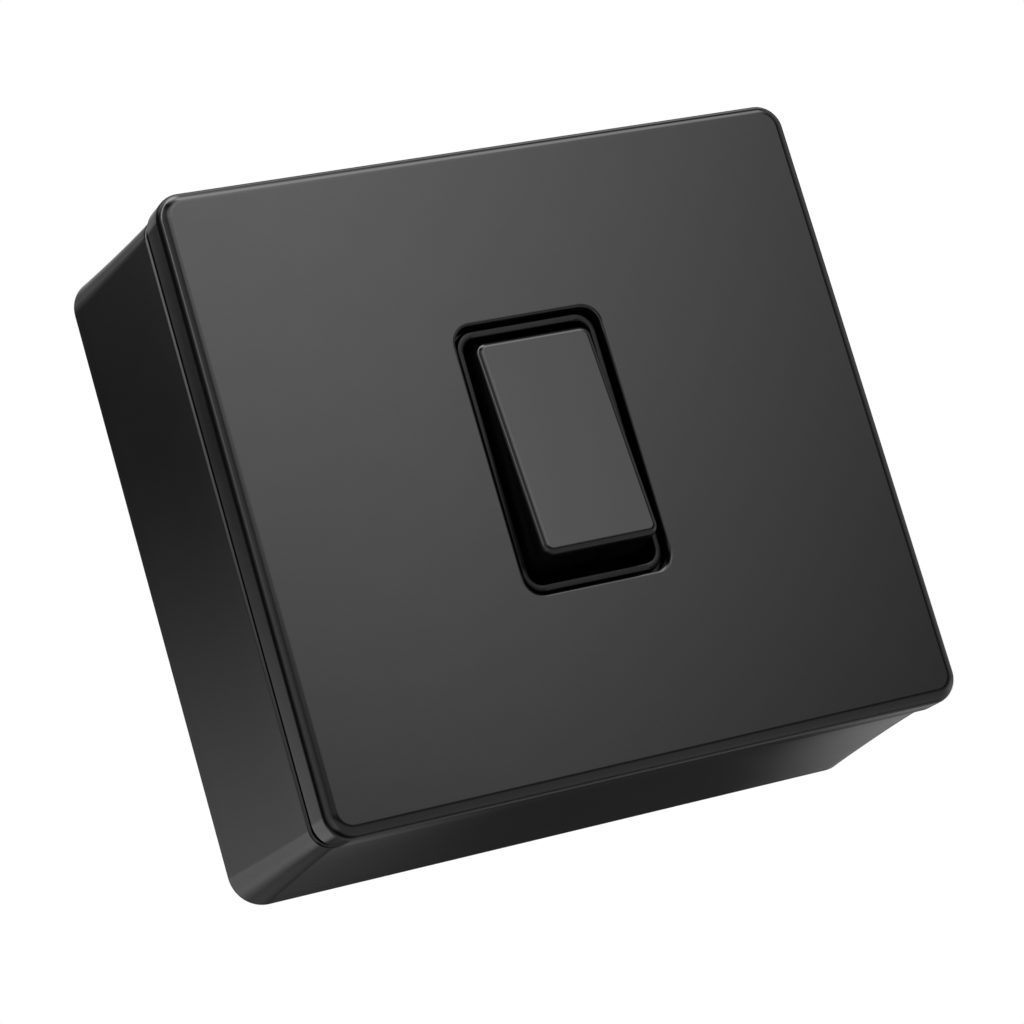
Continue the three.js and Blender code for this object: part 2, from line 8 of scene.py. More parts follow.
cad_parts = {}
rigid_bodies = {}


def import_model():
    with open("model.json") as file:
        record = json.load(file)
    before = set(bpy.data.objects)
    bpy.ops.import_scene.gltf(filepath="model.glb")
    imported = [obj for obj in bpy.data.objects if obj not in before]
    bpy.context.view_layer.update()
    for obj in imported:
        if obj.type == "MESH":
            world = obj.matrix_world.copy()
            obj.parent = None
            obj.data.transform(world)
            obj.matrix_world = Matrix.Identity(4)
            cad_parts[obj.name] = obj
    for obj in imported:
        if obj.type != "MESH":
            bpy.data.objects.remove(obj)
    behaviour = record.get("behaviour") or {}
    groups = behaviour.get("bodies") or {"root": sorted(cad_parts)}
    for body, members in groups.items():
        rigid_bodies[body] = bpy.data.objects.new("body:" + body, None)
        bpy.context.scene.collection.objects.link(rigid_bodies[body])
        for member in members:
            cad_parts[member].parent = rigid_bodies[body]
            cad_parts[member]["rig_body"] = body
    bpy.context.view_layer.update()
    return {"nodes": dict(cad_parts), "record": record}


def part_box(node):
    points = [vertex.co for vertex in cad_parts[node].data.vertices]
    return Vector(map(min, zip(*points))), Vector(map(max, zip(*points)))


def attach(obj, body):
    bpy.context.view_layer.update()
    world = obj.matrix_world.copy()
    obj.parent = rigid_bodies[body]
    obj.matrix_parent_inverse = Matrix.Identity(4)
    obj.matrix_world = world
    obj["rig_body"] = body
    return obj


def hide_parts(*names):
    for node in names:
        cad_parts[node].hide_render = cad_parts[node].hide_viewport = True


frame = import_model()

MM = 0.001

# ---------------------------------------------------------------- sizes, in millimetres
# Inner frame of every shape below: x to the right, y up the wall, z out of the wall.

PLATE_CORNER = 3.6
PLATE_EDGE = 1.7
PLATE_WALL = 1.6
PLATE_DEPTH = 5.7
SKIRT_WALL = 1.8
APERTURE = (21.2, 36.7, 2.5)
APERTURE_ROLL = 0.45
APERTURE_EASE = 0.15
FOOT_EASE = 0.2
CEILING_EASE = 0.4
CLIP_X = 35.0
CLIP_INSET = 7.55  # from the plate's edge to the middle of a clip
CLIP_WIDTH = 7.0
CLIP_THICKNESS = 1.2
CLIP_REACH = 4.0
CLIP_ROOT = 0.3
BOX_HEIGHT = 29.0
BOX_INSET = 0.45
BOX_FLARE = 1.7
BOX_FLARE_POWER = 1.28
BOX_CORNER = 2.9
BOX_INNER_CORNER = 1.6
# The rim's softened chamfer: each point's distance in from the side, then down from the top.
BOX_RIM = ((0, 0.42), (0.01, 0.36), (0.03, 0.31), (0.25, 0.05), (0.3, 0.02), (0.36, 0))
BOX_FOOT_ROUND = 0.35
BOX_MOUTH_EASE = 0.3
BOX_FLOOR_EASE = 0.5
BOX_INNER_LEVELS = (20.0, 12.0, 6.0)
BOX_WALL = 2.8
BOX_BACK = 2.5
CABLE_HOLE_RADIUS = 9.0
CABLE_HOLE_Y = 15.0
SLOT_WIDTH = 4.4
SLOT_LENGTH = 8.0
LEVEL_SLOT = (-24.0, -23.0)
UPRIGHT_SLOT = (6.0, -30.0)
KNOCKOUT_X = 24.0
KNOCKOUT_Y = 23.0
KNOCKOUT_RADIUS = 8.0
KNOCKOUT_GROOVE = 0.7
KNOCKOUT_DEPTH = 0.6
LUG = (9.0, 9.0, 1.2)
LUG_X = 30.15
LUG_TOP = 31.0
LUG_EASE = 0.25
LUG_FOOT_GROWTH = 0.3
LUG_FOOT_RISE = 0.6
LUG_WEB_END = 45.2
LUG_WEB_WIDTH = 8.6
LUG_WEB_DROP = 3.0
EARTH_POST_X = (17.7, 25.3)
EARTH_POST_Y = (-42.0, -32.7)
EARTH_POST_TOP = 9.0
MODULE = (-0.65, 0.45)
PIVOT_HEIGHT = 31.3
ROCKER_TILT = math.radians(5.5)
ROCKER = (16.9, 30.05, 1.5)
ROCKER_FACE = 7.99
ROCKER_EDGE = 0.9
ROCKER_SKIRT = 2.0
ROCKER_FLARE = 0.4
ROCKER_WALL = 1.4
ROCKER_HOLLOW_CORNER = 0.8
ROCKER_ROOF_EASE = 0.3
ROCKER_SKIRT_EASE = 0.15
CHEEK_THICKNESS = 1.5
CHEEK_INSET = 0.02
CHEEK_WIDTH = 9.0
CHEEK_FOOT = -2.2
TRUNNION_RADIUS = 1.4
TRUNNION_END = 10.4
TRUNNION_EASE = 0.2
TUBE_BORE = 1.9
TUBE_RADIUS = 2.7
TUBE_FOOT = -1.5
TUBE_EASE = 0.2
SPRING_ROOM = 0.65  # how much shorter the spring is than in the frame
LIP = (20.2, 35.8, 2.6)
LIP_TOP = 35.8
LIP_STEP = 1.1
LIP_ROUND = 0.15
LIP_FOOT_EASE = 0.2
POCKET = (18.6, 33.8, 1.9)
POCKET_MOUTH_ROUND = 0.2
POCKET_FLOOR = 26.0
POCKET_FLOOR_EASE = 0.4
WINDOW = (9.0, 13.0, 0.6)
BODY = (22.0, 38.0, 2.5)
BODY_EASE = 0.3
BEZEL_BOTTOM = 25.0
FLANGE = (28.0, 49.0, 2.0)
FLANGE_TOP = 31.0
FLANGE_THICKNESS = 1.5
METAL_BEVEL = 0.12
MOULDED_BEVEL = 0.2

# A grown part starts a root's depth inside its wall, and a cutter runs past the faces it opens.
BOX_ROOT = 0.5
CHEEK_ROOT = 0.5
TRUNNION_ROOT = 0.6
TUBE_ROOT = 0.2
PAST = 1.0

CORNER_STEPS = 14
EDGE_STEPS = 8
FINE_EDGE_STEPS = 10
SMALL_EDGE_STEPS = 4
BOX_SIDE_STEPS = 16
ROCKER_SIDE_STEPS = 6
HOLE_SIDES = 64
GROOVE_SIDES = 80
TRUNNION_SIDES = 32
TUBE_SIDES = 40
SHARP_ANGLE = math.radians(32)
BEVEL_ANGLE = math.radians(40)

# ---------------------------------------------------------------- shaping helpers


def row_point(x, y, z):
    """A point of the inner frame, in millimetres, as a row-frame point in metres."""
    return Vector((x * MM, -z * MM, y * MM))


def outline(width, height, radius, offset=0.0, middle=(0.0, 0.0)):
    """A rounded rectangle grown by offset, as (x, y) points running anticlockwise."""
    corner_x, corner_y = width / 2 - radius, height / 2 - radius
    reach = radius + offset
    points = []
    for quarter, (sx, sy) in enumerate(((1, 1), (-1, 1), (-1, -1), (1, -1))):
        for step in range(CORNER_STEPS + 1):
            angle = (quarter + step / CORNER_STEPS) * math.pi / 2
            x = middle[0] + sx * corner_x + reach * math.cos(angle)
            y = middle[1] + sy * corner_y + reach * math.sin(angle)
            points.append((x, y))
    return points


def ring(size, z, offset=0.0, middle=(0.0, 0.0)):
    return [row_point(x, y, z) for x, y in outline(*size, offset=offset, middle=middle)]


def eased(size, z, ease, side):
    """Three rings that round an edge at height z, from its side, which is above (1) or below (-1)."""
    return [ring(size, z + side * ease * up, -ease * inward) for up, inward in ((1, 0), (0.3, 0.3), (0, 1))]


def arc(count=EDGE_STEPS):
    """Steps of a quarter turn, as (sine, cosine) pairs."""
    turns = [i / count * math.pi / 2 for i in range(count + 1)]
    return [(math.sin(turn), math.cos(turn)) for turn in turns]


def direction(azimuth, elevation):
    """A unit vector: azimuth 0 is the front (-Y), 90 is +X, in degrees."""
    a, e = math.radians(azimuth), math.radians(elevation)
    return Vector((math.sin(a) * math.cos(e), -math.cos(a) * math.cos(e), math.sin(e)))


def add_rings(bm, rings, closed=False, cap_first=False, cap_last=False):
    """Skins a list of equal rings. A closed skin joins its last ring back to its first."""
    loops = [[bm.verts.new(p) for p in points] for points in rings]
    pairs = list(zip(loops, loops[1:]))
    if closed:
        pairs.append((loops[-1], loops[0]))
    for a, b in pairs:
        for i in range(len(a)):
            j = (i + 1) % len(a)
            bm.faces.new((a[i], a[j], b[j], b[i]))
    if cap_first:
        bm.faces.new(list(reversed(loops[0])))
    if cap_last:
        bm.faces.new(loops[-1])


def around(middle, size):
    """The two ends of a span of this size about its middle."""
    return (middle - size / 2, middle + size / 2)


def add_box(bm, x, y, z, place=row_point):
    """A box given by its two ends on each axis."""
    corners = [bm.verts.new(place(a, b, c)) for c in z for b in y for a in x]
    for quad in ((0, 2, 3, 1), (4, 5, 7, 6), (0, 1, 5, 4), (2, 6, 7, 3), (0, 4, 6, 2), (1, 3, 7, 5)):
        bm.faces.new([corners[i] for i in quad])


def circle(radius, sides):
    turns = [2 * math.pi * i / sides for i in range(sides)]
    return [(radius * math.cos(turn), radius * math.sin(turn)) for turn in turns]


def add_turned(bm, profile, place, sides):
    """A turned solid: profile is a list of (radius, height), and place puts its points in the frame."""
    rings = [[place(x, y, z) for x, y in circle(radius, sides)] for radius, z in profile]
    add_rings(bm, rings, cap_first=True, cap_last=True)


def finished(name, bm, body, replaced, slot_name, material, sharp=SHARP_ANGLE):
    """Makes a piece from bm, with smooth rounds and crisp edges."""
    bmesh.ops.remove_doubles(bm, verts=bm.verts, dist=1e-8)
    bmesh.ops.recalc_face_normals(bm, faces=bm.faces)
    mesh = bpy.data.meshes.new(name)
    bm.to_mesh(mesh)
    bm.free()
    obj = bpy.data.objects.new(name, mesh)
    bpy.context.scene.collection.objects.link(obj)
    return dress(obj, body, replaced, slot_name, material, sharp)


def dress(obj, body, replaced, slot_name, material, sharp):
    """Shades the object, gives it its material and ties it to its body and the nodes it replaces."""
    obj.data.polygons.foreach_set("use_smooth", [True] * len(obj.data.polygons))
    obj.data.set_sharp_from_angle(angle=sharp)
    weights = obj.modifiers.new("even_normals", "WEIGHTED_NORMAL")
    weights.keep_sharp = True
    weights.weight = 100
    obj.data.materials.clear()
    obj.data.materials.append(material)
    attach(obj, body)
    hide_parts(*replaced)
    return obj


def body_of(node):
    return frame["nodes"][node]["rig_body"]


def cut_away(obj, cutters):
    """Subtracts each cutter object from obj for good."""
    for cutter in cutters:
        step = obj.modifiers.new("cut", "BOOLEAN")
        step.operation = "DIFFERENCE"
        step.solver = "EXACT"
        step.object = cutter
        bpy.context.view_layer.update()
        evaluated = obj.evaluated_get(bpy.context.evaluated_depsgraph_get())
        mesh = bpy.data.meshes.new_from_object(evaluated)
        obj.modifiers.clear()
        obj.data = mesh
    for cutter in cutters:
        bpy.data.objects.remove(cutter)


def loose(bm):
    """A helper object from bm, used only to cut or join, then removed."""
    bmesh.ops.recalc_face_normals(bm, faces=bm.faces)
    mesh = bpy.data.meshes.new("helper")
    bm.to_mesh(mesh)
    bm.free()
    obj = bpy.data.objects.new("helper", mesh)
    bpy.context.scene.collection.objects.link(obj)
    return obj


# ---------------------------------------------------------------- materials
# A noise of scale 1000 has features about a millimetre across. Bump depths are in metres.


class Nodes:
    """A short way to write a node tree."""

    def __init__(self, name):
        self.material = bpy.data.materials.new(name)
        self.material.use_nodes = True
        self.tree = self.material.node_tree
        self.shader = self.tree.nodes["Principled BSDF"]

    def add(self, kind, **inputs):
        """A node with numbers set on its inputs, each given by the input's name in lower case."""
        node = self.tree.nodes.new(kind)
        for name, value in inputs.items():
            node.inputs[name.replace("_", " ").title()].default_value = value
        return node

    def link(self, source, target):
        self.tree.links.new(source, target)

    def noise(self, scale, detail=2.0, rough=0.5, vector=None):
        node = self.add("ShaderNodeTexNoise", scale=scale, detail=detail, roughness=rough)
        self.link(vector or self.place(), node.inputs["Vector"])
        return node.outputs["Fac"]

    def place(self, stretch=(1, 1, 1)):
        where = self.add("ShaderNodeTexCoord")
        mapping = self.add("ShaderNodeMapping", scale=stretch)
        self.link(where.outputs["Object"], mapping.inputs["Vector"])
        return mapping.outputs["Vector"]

    def spread(self, value, low, high):
        """Stretches the middle of a noise to run from low to high."""
        node = self.add("ShaderNodeMapRange", from_min=0.3, from_max=0.7, to_min=low, to_max=high)
        self.link(value, node.inputs["Value"])
        return node.outputs["Result"]

    def colour(self, value, dark, light):
        """Blends two colours by a value from 0 to 1."""
        node = self.add("ShaderNodeMix")
        node.data_type = "RGBA"
        self.link(value, node.inputs["Factor"])
        ends = [socket for socket in node.inputs if socket.type == "RGBA"]
        ends[0].default_value = (*dark, 1)
        ends[1].default_value = (*light, 1)
        return next(socket for socket in node.outputs if socket.type == "RGBA")

    def bump(self, value, distance, strength, under=None):
        node = self.add("ShaderNodeBump", strength=strength, distance=distance)
        self.link(value, node.inputs["Height"])
        if under is not None:
            self.link(under, node.inputs["Normal"])
        return node.outputs["Normal"]


def satin_black(name, tone, rough, spread, grain, grain_depth, index=1.52):
    """A black satin surface: fine grain, faint cloudiness in tone and gloss."""
    n = Nodes(name)
    cloud = n.noise(55, 3.0, 0.55)
    fine = n.noise(grain, 2.0, 0.6)
    low = tuple(c * 0.93 for c in tone)
    high = tuple(c * 1.07 for c in tone)
    n.link(n.colour(cloud, low, high), n.shader.inputs["Base Color"])
    n.link(n.spread(n.noise(180, 3.0, 0.6), rough - spread, rough + spread), n.shader.inputs["Roughness"])
    peel = n.bump(n.noise(650, 1.0, 0.4), 0.000004, 0.35)
    n.link(n.bump(fine, grain_depth, 0.5, peel), n.shader.inputs["Normal"])
    n.shader.inputs["IOR"].default_value = index
    return n.material


def metal(name, tone, rough, stretch):
    """Drawn or plated metal, with fine lines along its length and cloudy tarnish."""
    n = Nodes(name)
    tarnish = n.noise(400, 4.0, 0.6)
    dark = tuple(c * 0.72 for c in tone)
    n.link(n.colour(tarnish, dark, tone), n.shader.inputs["Base Color"])
    lines = n.noise(900, 3.0, 0.7, n.place(stretch))
    n.link(n.spread(lines, rough - 0.08, rough + 0.12), n.shader.inputs["Roughness"])
    n.link(n.bump(lines, 0.00001, 0.4), n.shader.inputs["Normal"])
    n.shader.inputs["Metallic"].default_value = 1.0
    return n.material


def moulded(name, tone, rough):
    """A pale insulating moulding, slightly mottled."""
    n = Nodes(name)
    mottle = n.noise(300, 4.0, 0.65)
    dark = tuple(c * 0.86 for c in tone)
    n.link(n.colour(mottle, dark, tone), n.shader.inputs["Base Color"])
    n.link(n.spread(n.noise(700, 2.0), rough - 0.06, rough + 0.08), n.shader.inputs["Roughness"])
    n.link(n.bump(n.noise(2500, 2.0), 0.00001, 0.5), n.shader.inputs["Normal"])
    return n.material


PLATE_COAT = satin_black("plate_coat", (0.0022, 0.0022, 0.0023), 0.14, 0.012, 5200, 0.000002)
BOX_SHELL = satin_black("box_shell", (0.0022, 0.0022, 0.0023), 0.15, 0.015, 4200, 0.000002)
ROCKER_SKIN = satin_black("rocker_plastic", (0.0022, 0.0022, 0.0023), 0.15, 0.012, 5200, 0.000002, 1.49)
BEZEL_SKIN = satin_black("bezel_plastic", (0.0018, 0.0018, 0.0019), 0.2, 0.015, 4200, 0.000003, 1.3)
FRAME_SKIN = satin_black("frame_plastic", (0.003, 0.003, 0.0031), 0.4, 0.03, 3600, 0.000004, 1.4)
INSULATOR = moulded("insulator", (0.62, 0.6, 0.54), 0.5)
NYLON = moulded("nylon", (0.74, 0.73, 0.68), 0.4)
BRASS = metal("brass", (0.72, 0.5, 0.2), 0.28, (1, 6, 1))
STEEL = metal("steel", (0.6, 0.61, 0.63), 0.3, (1, 6, 1))
SILVER = metal("silver", (0.82, 0.82, 0.8), 0.22, (3, 1, 3))

# ---------------------------------------------------------------- front plate


def plate_size():
    """The plate's width, height and front, in millimetres, from the frame."""
    low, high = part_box("front_plate")
    return (high.x - low.x) / MM, (high.z - low.z) / MM, -low.y / MM


def front_plate():
    """The plate, as one closed skin from the opening's underside over the front to the skirt's inside."""
    width, height, top = plate_size()
    foot = top - PLATE_DEPTH
    size = (width, height, PLATE_CORNER)
    inner = (width - 2 * SKIRT_WALL, height - 2 * SKIRT_WALL, PLATE_CORNER - SKIRT_WALL)
    ceiling = top - PLATE_WALL
    rings = [ring(APERTURE, ceiling, APERTURE_EASE, MODULE)]
    rings.append(ring(APERTURE, ceiling + APERTURE_EASE, 0, MODULE))
    for s, c in arc():
        rings.append(ring(APERTURE, top - APERTURE_ROLL * (1 - s), APERTURE_ROLL * (1 - c), MODULE))
    for s, c in arc():
        rings.append(ring(size, top - PLATE_EDGE * (1 - c), -PLATE_EDGE * (1 - s)))
    rings += eased(size, foot, FOOT_EASE, 1)
    rings += [ring(inner, foot, FOOT_EASE), ring(inner, foot + FOOT_EASE)]
    rings += eased(inner, ceiling, CEILING_EASE, -1)
    bm = bmesh.new()
    add_rings(bm, rings, closed=True)
    clip_y = height / 2 - CLIP_INSET
    clip_span = (ceiling - CLIP_REACH, ceiling + CLIP_ROOT)
    for x in (-CLIP_X, CLIP_X):
        for y in (-clip_y, clip_y):
            add_box(bm, around(x, CLIP_WIDTH), around(y, CLIP_THICKNESS), clip_span)
    return finished("front_plate_shell", bm, "plate", ["front_plate"], "plate_coat", PLATE_COAT)


# ---------------------------------------------------------------- surface box


def flare(z):
    """How far the box's side stands out past its rim, at a height above the wall."""
    return BOX_FLARE * max(0.0, 1 - z / BOX_HEIGHT) ** BOX_FLARE_POWER


def back_box():
    """The box's shell, before its back is cut and its lugs are added."""
    width, height = (side - 2 * BOX_INSET for side in plate_size()[:2])
    size = (width, height, BOX_CORNER)
    inner = (width - 2 * BOX_WALL, height - 2 * BOX_WALL, BOX_INNER_CORNER)
    rings = []
    for s, c in arc(SMALL_EDGE_STEPS):
        rings.append(ring(size, BOX_FOOT_ROUND * (1 - c), flare(0) - BOX_FOOT_ROUND * (1 - s)))
    span = BOX_HEIGHT - BOX_RIM[0][1] - BOX_FOOT_ROUND
    for i in range(1, BOX_SIDE_STEPS + 1):
        z = BOX_FOOT_ROUND + span * i / BOX_SIDE_STEPS
        rings.append(ring(size, z, flare(z)))
    for inward, down in BOX_RIM[1:]:
        rings.append(ring(size, BOX_HEIGHT - down, flare(BOX_HEIGHT - down) - inward))
    rings += [ring(inner, BOX_HEIGHT, BOX_MOUTH_EASE), ring(inner, BOX_HEIGHT - BOX_MOUTH_EASE)]
    for z in (*BOX_INNER_LEVELS, BOX_BACK + BOX_FLOOR_EASE):
        rings.append(ring(inner, z, flare(z)))
    rings.append(ring(inner, BOX_BACK, flare(BOX_BACK) - BOX_FLOOR_EASE))
    bm = bmesh.new()
    add_rings(bm, rings, cap_first=True, cap_last=True)
    return bm


def round_cut(radius, x, y):
    """A round cutter through the box's back."""
    bm = bmesh.new()
    profile = [(radius, -PAST), (radius, BOX_BACK + PAST)]
    add_turned(bm, profile, lambda a, b, c: row_point(a + x, b + y, c), HOLE_SIDES)
    return loose(bm)


def slot_cut(x, y, width, height):
    """A round-ended cutter through the box's back."""
    bm = bmesh.new()
    almost_round = min(width, height) / 2 - 0.001
    size = (width, height, almost_round)
    rings = [ring(size, z, middle=(x, y)) for z in (-PAST, BOX_BACK + PAST)]
    add_rings(bm, rings, cap_first=True, cap_last=True)
    return loose(bm)


def groove_cut(x, y):
    """A thin round groove in the wall side, that marks a knockout."""
    bm = bmesh.new()
    outer, inner = KNOCKOUT_RADIUS, KNOCKOUT_RADIUS - KNOCKOUT_GROOVE
    corners = ((outer, -PAST), (outer, KNOCKOUT_DEPTH), (inner, KNOCKOUT_DEPTH), (inner, -PAST))
    rings = [[row_point(x + a, y + b, z) for a, b in circle(radius, GROOVE_SIDES)] for radius, z in corners]
    add_rings(bm, rings, closed=True)
    return loose(bm)


def box_piece():
    shell = loose(back_box())
    cut_away(shell, [
        round_cut(CABLE_HOLE_RADIUS, 0, CABLE_HOLE_Y),
        slot_cut(*LEVEL_SLOT, SLOT_LENGTH, SLOT_WIDTH),
        slot_cut(*UPRIGHT_SLOT, SLOT_WIDTH, SLOT_LENGTH),
        groove_cut(-KNOCKOUT_X, KNOCKOUT_Y),
        groove_cut(KNOCKOUT_X, KNOCKOUT_Y),
    ])
    bm = bmesh.new()
    bm.from_mesh(shell.data)
    bpy.data.objects.remove(shell)
    foot = BOX_BACK - BOX_ROOT
    levels = [(foot, LUG_FOOT_GROWTH), (BOX_BACK + LUG_FOOT_RISE, 0)]
    levels += [(LUG_TOP - LUG_EASE, 0), (LUG_TOP, -LUG_EASE)]
    for x in (-LUG_X, LUG_X):
        rings = [ring(LUG, z, grow, (x, 0)) for z, grow in levels]
        add_rings(bm, rings, cap_first=True, cap_last=True)
        web = sorted((x, math.copysign(LUG_WEB_END, x)))
        add_box(bm, web, around(0, LUG_WEB_WIDTH), (foot, BOX_HEIGHT - LUG_WEB_DROP))
    add_box(bm, EARTH_POST_X, EARTH_POST_Y, (foot, EARTH_POST_TOP))
    return finished("back_box_shell", bm, body_of("back_box"), ["back_box"], "box_shell", BOX_SHELL)


# ---------------------------------------------------------------- rocker


def rocker_point(x, y, z):
    """A point of the rocker's own frame, about its pivot, as a row-frame point."""
    turned = Matrix.Rotation(-ROCKER_TILT, 3, "X") @ Vector((x, y, z))
    return row_point(turned.x + MODULE[0], turned.y + MODULE[1], turned.z + PIVOT_HEIGHT)


def rocker_ring(size, z, offset=0.0):
    return [rocker_point(x, y, z) for x, y in outline(*size, offset=offset)]


def rocker():
    roof = ROCKER_FACE - ROCKER_WALL
    inner = (ROCKER[0] - 2 * ROCKER_WALL, ROCKER[1] - 2 * ROCKER_WALL, ROCKER_HOLLOW_CORNER)
    rings = [
        rocker_ring(inner, roof, -ROCKER_ROOF_EASE),
        rocker_ring(inner, roof - ROCKER_ROOF_EASE),
        rocker_ring(inner, ROCKER_SKIRT, ROCKER_FLARE),
        rocker_ring(ROCKER, ROCKER_SKIRT, ROCKER_FLARE - ROCKER_SKIRT_EASE),
        rocker_ring(ROCKER, ROCKER_SKIRT + ROCKER_SKIRT_EASE, ROCKER_FLARE),
    ]
    span = ROCKER_FACE - ROCKER_EDGE - ROCKER_SKIRT
    for i in range(1, ROCKER_SIDE_STEPS):
        share = i / ROCKER_SIDE_STEPS
        rings.append(rocker_ring(ROCKER, ROCKER_SKIRT + span * share, ROCKER_FLARE * (1 - share)))
    for s, c in arc(FINE_EDGE_STEPS):
        rings.append(rocker_ring(ROCKER, ROCKER_FACE - ROCKER_EDGE * (1 - s), -ROCKER_EDGE * (1 - c)))
    bm = bmesh.new()
    add_rings(bm, rings, cap_first=True, cap_last=True)
    cheek = ROCKER[0] / 2 + ROCKER_FLARE
    for side in (-1, 1):
        sides = (side * (cheek - CHEEK_THICKNESS), side * (cheek - CHEEK_INSET))
        height = (CHEEK_FOOT, ROCKER_SKIRT + CHEEK_ROOT)
        add_box(bm, sides, around(0, CHEEK_WIDTH), height, rocker_point)
        profile = [(TRUNNION_RADIUS, cheek - TRUNNION_ROOT), (TRUNNION_RADIUS, TRUNNION_END - TRUNNION_EASE)]
        profile.append((TRUNNION_RADIUS - TRUNNION_EASE, TRUNNION_END))
        add_turned(bm, profile, lambda a, b, c, side=side: rocker_point(side * c, a, b), TRUNNION_SIDES)
    tube = [
        (TUBE_BORE, TUBE_FOOT), (TUBE_BORE, roof - TUBE_ROOT / 2), (TUBE_RADIUS, roof + TUBE_ROOT),
        (TUBE_RADIUS, TUBE_FOOT + TUBE_EASE), (TUBE_RADIUS - TUBE_EASE, TUBE_FOOT),
    ]
    rings = [[rocker_point(x, y, z) for x, y in circle(radius, TUBE_SIDES)] for radius, z in tube]
    add_rings(bm, rings, closed=True)
    return finished("rocker_shell", bm, "rocker_body", ["rocker"], "rocker_plastic", ROCKER_SKIN)


# ---------------------------------------------------------------- bezel


def bezel():
    """The insert round the rocker, as one closed skin: each stage is a size, a height and a growth."""
    under = FLANGE_TOP - FLANGE_THICKNESS
    step = LIP_TOP - LIP_STEP
    stages = [
        (BODY, BEZEL_BOTTOM, 0), (BODY, under, 0), (FLANGE, under, 0), (FLANGE, FLANGE_TOP, 0),
        (BODY, FLANGE_TOP, 0), (BODY, step - BODY_EASE, 0), (BODY, step, -BODY_EASE),
        (LIP, step, LIP_FOOT_EASE), (LIP, step + LIP_FOOT_EASE, 0),
    ]
    for s, c in arc(SMALL_EDGE_STEPS):
        stages.append((LIP, LIP_TOP - LIP_ROUND * (1 - s), -LIP_ROUND * (1 - c)))
    for s, c in arc(SMALL_EDGE_STEPS):
        stages.append((POCKET, LIP_TOP - POCKET_MOUTH_ROUND * (1 - c), POCKET_MOUTH_ROUND * (1 - s)))
    stages += [(POCKET, POCKET_FLOOR + POCKET_FLOOR_EASE, 0), (POCKET, POCKET_FLOOR, -POCKET_FLOOR_EASE)]
    stages += [(WINDOW, POCKET_FLOOR, 0), (WINDOW, BEZEL_BOTTOM, 0)]
    bm = bmesh.new()
    add_rings(bm, [ring(size, z, grow, MODULE) for size, z, grow in stages], closed=True)
    body = body_of("module_bezel")
    return finished("bezel_shell", bm, body, ["module_bezel"], "bezel_plastic", BEZEL_SKIN)


# ---------------------------------------------------------------- carried-over pieces


def shorten_spring(bm):
    """Squeezes the spring towards the rocker's roof, so that the plunger has its full travel."""
    start = rocker_point(0, 0, 0)
    axis = (rocker_point(0, 0, 1) - start) / MM
    depths = [(vert.co - start).dot(axis) for vert in bm.verts]
    low, high = min(depths), max(depths)
    for vert, depth in zip(bm.verts, depths):
        vert.co += axis * SPRING_ROOM * MM * (high - depth) / (high - low)


def bevelled_copy(node, name, slot_name, material, width):
    """A CAD piece with its edges broken by a small bevel."""
    source = frame["nodes"][node]
    bm = bmesh.new()
    bm.from_mesh(source.data)
    if node == "plunger_spring":
        shorten_spring(bm)
    bmesh.ops.remove_doubles(bm, verts=bm.verts, dist=1e-6)
    bmesh.ops.dissolve_limit(bm, angle_limit=math.radians(1), verts=bm.verts, edges=bm.edges)
    obj = finished(name, bm, body_of(node), [node], slot_name, material, BEVEL_ANGLE)
    edge = obj.modifiers.new("broken_edges", "BEVEL")
    edge.width = width * MM
    edge.segments = 2
    edge.limit_method = "ANGLE"
    edge.angle_limit = BEVEL_ANGLE
    obj.modifiers.move(1, 0)
    return obj


MATERIAL_OF_SLOT = {
    "brass": BRASS, "steel": STEEL, "silver": SILVER, "insulator": INSULATOR, "nylon": NYLON,
    "frame_plastic": FRAME_SKIN,
}


def small_pieces():
    drawn = {"front_plate", "back_box", "rocker", "module_bezel"}
    for row in frame["record"]["subparts"]:
        node, slot_name = row["node"], row["material_slot"]
        if node not in drawn:
            width = METAL_BEVEL if slot_name in ("brass", "steel", "silver", "nylon") else MOULDED_BEVEL
            bevelled_copy(node, node + "_shape", slot_name, MATERIAL_OF_SLOT[slot_name], width)


front_plate()
box_piece()
rocker()
bezel()
small_pieces()

# ---------------------------------------------------------------- camera

CAMERA_LENS = 130.53
CAMERA_AIM = Vector((-1.01, -17.47, -2.42)) * MM
CAMERA_DISTANCE = 499.53 * MM
CAMERA_AZIMUTH = -25.45
CAMERA_ELEVATION = -10.85
CAMERA_ROLL = -16.31


def camera():
    data = bpy.data.cameras.new("camera")
    data.lens = CAMERA_LENS
    data.sensor_width = 36
    data.clip_start = 0.01
    data.clip_end = 50
    obj = bpy.data.objects.new("camera", data)
    bpy.context.scene.collection.objects.link(obj)
    look = -direction(CAMERA_AZIMUTH, CAMERA_ELEVATION)
    roll = Matrix.Rotation(math.radians(CAMERA_ROLL), 3, "Z")
    turn = look.to_track_quat("-Z", "Y").to_matrix() @ roll
    obj.matrix_world = Matrix.Translation(CAMERA_AIM - look * CAMERA_DISTANCE) @ turn.to_4x4()
    bpy.context.scene.camera = obj


camera()

# ---------------------------------------------------------------- studio

FLOOR_REACH = 3.0
FLOOR_HEIGHT = -0.62


